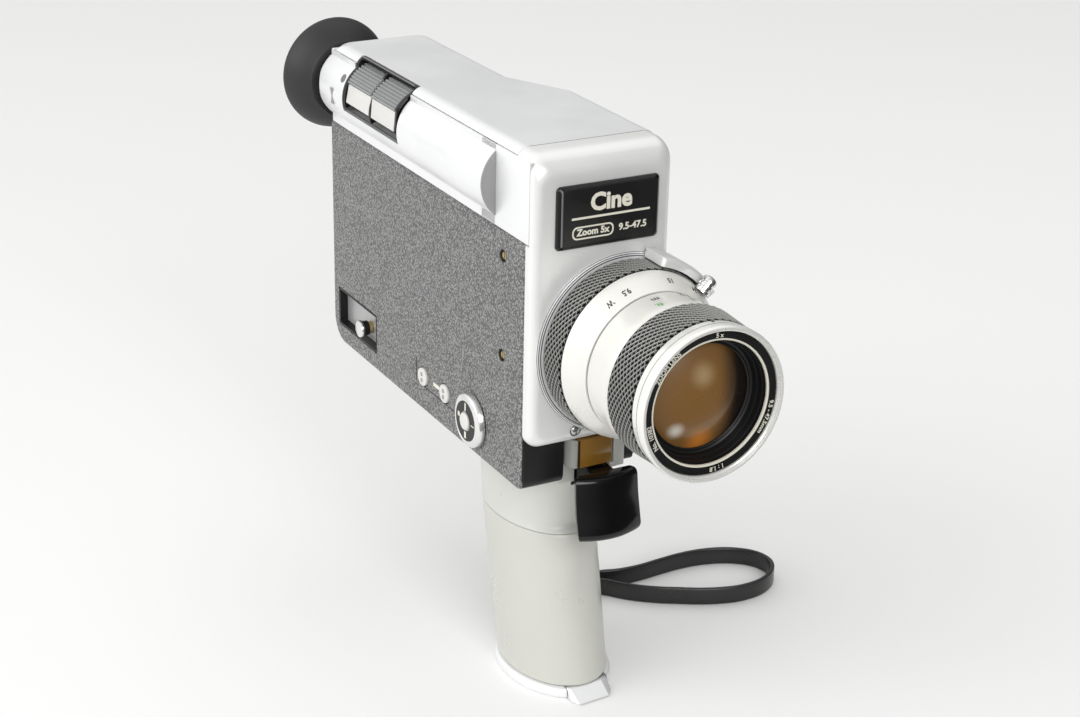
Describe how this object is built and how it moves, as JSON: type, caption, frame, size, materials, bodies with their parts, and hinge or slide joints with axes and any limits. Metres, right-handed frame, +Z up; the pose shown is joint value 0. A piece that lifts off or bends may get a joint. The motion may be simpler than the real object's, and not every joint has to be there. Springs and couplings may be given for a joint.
{
  "type": "cine camera",
  "caption": "Pistol-grip cine camera with zoom lens, viewfinder, zoom keys, trigger, side controls, hinged film door and wrist strap.",
  "frame": {"origin": "centre of the flat face under the grip that the camera stands on", "axes": "+Z up, the lens looks along -Y, the operator's right-hand side is -X"},
  "size_m": [0.1631, 0.258, 0.2273],
  "materials": {
    "silver_casting": "satin silver enamel on a casting",
    "silver_cover": "satin silver enamel on pressed sheet",
    "leather_cover": "pebbled black leatherette",
    "black_casting": "matt black",
    "black_plastic": "matt black",
    "gloss_black": "gloss black",
    "black_anodised": "black anodised",
    "black_knurl": "moulded diamond knurl",
    "cream_ring": "cream-white enamel",
    "coated_glass": "amber-coated, polished",
    "steel": "plain",
    "brass": "plain",
    "rubber": "matt",
    "key_grey": "satin light grey",
    "grip_grey": "satin warm grey",
    "battery": "zinc cells in a printed sleeve",
    "amber": "translucent amber",
    "strap": "black band"
  },
  "bodies": {
    "camera": {"front_casting": "silver_casting", "top_cover": "silver_cover", "side_shell": "silver_cover", "side_cover": "leather_cover", "main_casting": "black_casting", "bottom_cover": "black_plastic", "door_hinge_pin": "steel", "nameplate": "gloss_black", "lens_flange": "silver_casting", "zoom_drive_cover": "silver_casting", "lens_barrel": "black_anodised", "rear_lens": "coated_glass", "beam_splitter": "coated_glass", "film_gate": "steel", "pressure_plate": "black_plastic", "drive_motor": "steel", "finder_tube": "black_plastic", "zoom_button_frame": "black_plastic", "window_tray": "black_plastic", "side_screw_upper": "brass", "side_screw_lower": "brass", "casting_screw": "steel", "grip_neck": "grip_grey", "grip_shell": "grip_grey", "battery_pack": "battery", "base_ring": "silver_cover", "trigger_spring": "steel", "amber_window": "amber", "wrist_strap": "strap"},
    "zoom_group": {"zoom_grip": "black_knurl", "zoom_scale_ring": "cream_ring", "zoom_lever": "silver_casting"},
    "variator": {"variator_cell": "black_anodised", "variator_lens": "coated_glass"},
    "focus_group": {"focus_ring": "cream_ring", "focus_grip": "black_knurl", "front_bezel": "cream_ring", "name_ring": "gloss_black", "front_cell": "black_anodised", "front_lens": "coated_glass"},
    "eyepiece": {"eyepiece_ring": "black_plastic", "eyepiece_lens": "coated_glass", "eyecup": "rubber"},
    "wide_key": {"zoom_button_wide": "key_grey"},
    "tele_key": {"zoom_button_tele": "key_grey"},
    "trigger_group": {"trigger": "gloss_black"},
    "dial": {"speed_dial": "silver_cover"},
    "dial_centre": {"dial_button": "silver_cover"},
    "check": {"check_button": "silver_cover"},
    "selector": {"selector_disc": "silver_cover"},
    "knob": {"window_knob": "steel"},
    "lock": {"run_lock": "grip_grey"},
    "door": {"film_door": "leather_cover"},
    "door_catch": {"door_latch": "silver_cover"},
    "lid": {"battery_lid": "silver_cover"},
    "lid_catch": {"lid_latch": "silver_cover"},
    "shutter": {"shutter_gear": "brass", "shutter_disc": "black_anodised"},
    "motor_rotor": {"motor_pinion": "brass"},
    "spindle": {"takeup_spindle": "black_plastic"}
  },
  "joints": [
    {"name": "zoom_turn", "type": "hinge", "parent": "camera", "child": "zoom_group", "pos_m": [0.0071, -0.04, 0.1477], "axis": [0, 1, 0], "range_deg": [-15, 75]},
    {"name": "variator_travel", "type": "slide", "parent": "camera", "child": "variator", "axis": [0, 1, 0], "range_m": [-0.0042, 0.0202]},
    {"name": "focus_turn", "type": "hinge", "parent": "camera", "child": "focus_group", "pos_m": [0.0071, -0.07, 0.1477], "axis": [0, 1, 0], "range_deg": [-180, 30]},
    {"name": "dioptre_turn", "type": "hinge", "parent": "camera", "child": "eyepiece", "pos_m": [-0.0199, 0.148, 0.2036], "axis": [0, 1, 0], "range_deg": [-90, 90]},
    {"name": "wide_key_press", "type": "slide", "parent": "camera", "child": "wide_key", "axis": [0.9063, 0, -0.4226], "range_m": [0, 0.0015], "stiffness_N_per_m": 400, "springref_m": -0.0005},
    {"name": "tele_key_press", "type": "slide", "parent": "camera", "child": "tele_key", "axis": [0.9063, 0, -0.4226], "range_m": [0, 0.0015], "stiffness_N_per_m": 400, "springref_m": -0.0005},
    {"name": "trigger_pull", "type": "slide", "parent": "camera", "child": "trigger_group", "axis": [0, 1, 0], "range_m": [0, 0.003], "stiffness_N_per_m": 600, "springref_m": -0.001, "deforming": ["trigger_spring"]},
    {"name": "speed_turn", "type": "hinge", "parent": "camera", "child": "dial", "pos_m": [-0.0292, 0.0152, 0.106], "axis": [-1, 0, 0], "range_deg": [-60, 60]},
    {"name": "dial_button_press", "type": "slide", "parent": "dial", "child": "dial_centre", "axis": [1, 0, 0], "range_m": [0, 0.0008], "stiffness_N_per_m": 300, "springref_m": -0.0005},
    {"name": "check_press", "type": "slide", "parent": "camera", "child": "check", "axis": [1, 0, 0], "range_m": [0, 0.001], "stiffness_N_per_m": 300, "springref_m": -0.0005},
    {"name": "selector_turn", "type": "hinge", "parent": "camera", "child": "selector", "pos_m": [-0.0292, 0.0394, 0.1072], "axis": [-1, 0, 0], "range_deg": [-90, 90]},
    {"name": "knob_turn", "type": "hinge", "parent": "camera", "child": "knob", "pos_m": [-0.0292, 0.1162, 0.1067], "axis": [-1, 0, 0], "range_deg": [-90, 90]},
    {"name": "lock_slide", "type": "slide", "parent": "camera", "child": "lock", "axis": [1, 0, 0], "range_m": [0, 0.003]},
    {"name": "door_open", "type": "hinge", "parent": "camera", "child": "door", "pos_m": [0.027, -0.0112, 0.148], "axis": [0, 0, -1], "range_deg": [0, 100]},
    {"name": "door_catch_slide", "type": "slide", "parent": "door", "child": "door_catch", "axis": [0, -1, 0], "range_m": [0, 0.003]},
    {"name": "lid_open", "type": "hinge", "parent": "camera", "child": "lid", "pos_m": [0, 0.0252, 0.0021], "axis": [1, 0, 0], "range_deg": [0, 90]},
    {"name": "lid_catch_slide", "type": "slide", "parent": "lid", "child": "lid_catch", "axis": [0, -1, 0], "range_m": [0, 0.0025]},
    {"name": "shutter_spin", "type": "hinge", "parent": "camera", "child": "shutter", "pos_m": [0.0055, -0.012, 0.136], "axis": [0, 1, 0], "continuous": true},
    {"name": "motor_spin", "type": "hinge", "parent": "camera", "child": "motor_rotor", "pos_m": [0.0055, -0.012, 0.124], "axis": [0, 1, 0], "continuous": true},
    {"name": "spindle_spin", "type": "hinge", "parent": "camera", "child": "spindle", "pos_m": [0, 0.072, 0.128], "axis": [1, 0, 0], "continuous": true}
  ],
  "couplings": [
    {"joint": "variator_travel", "follows": "zoom_turn", "m_per_rad": 0.01528},
    {"joint": "motor_spin", "follows": "shutter_spin", "ratio": -1.5}
  ]
}
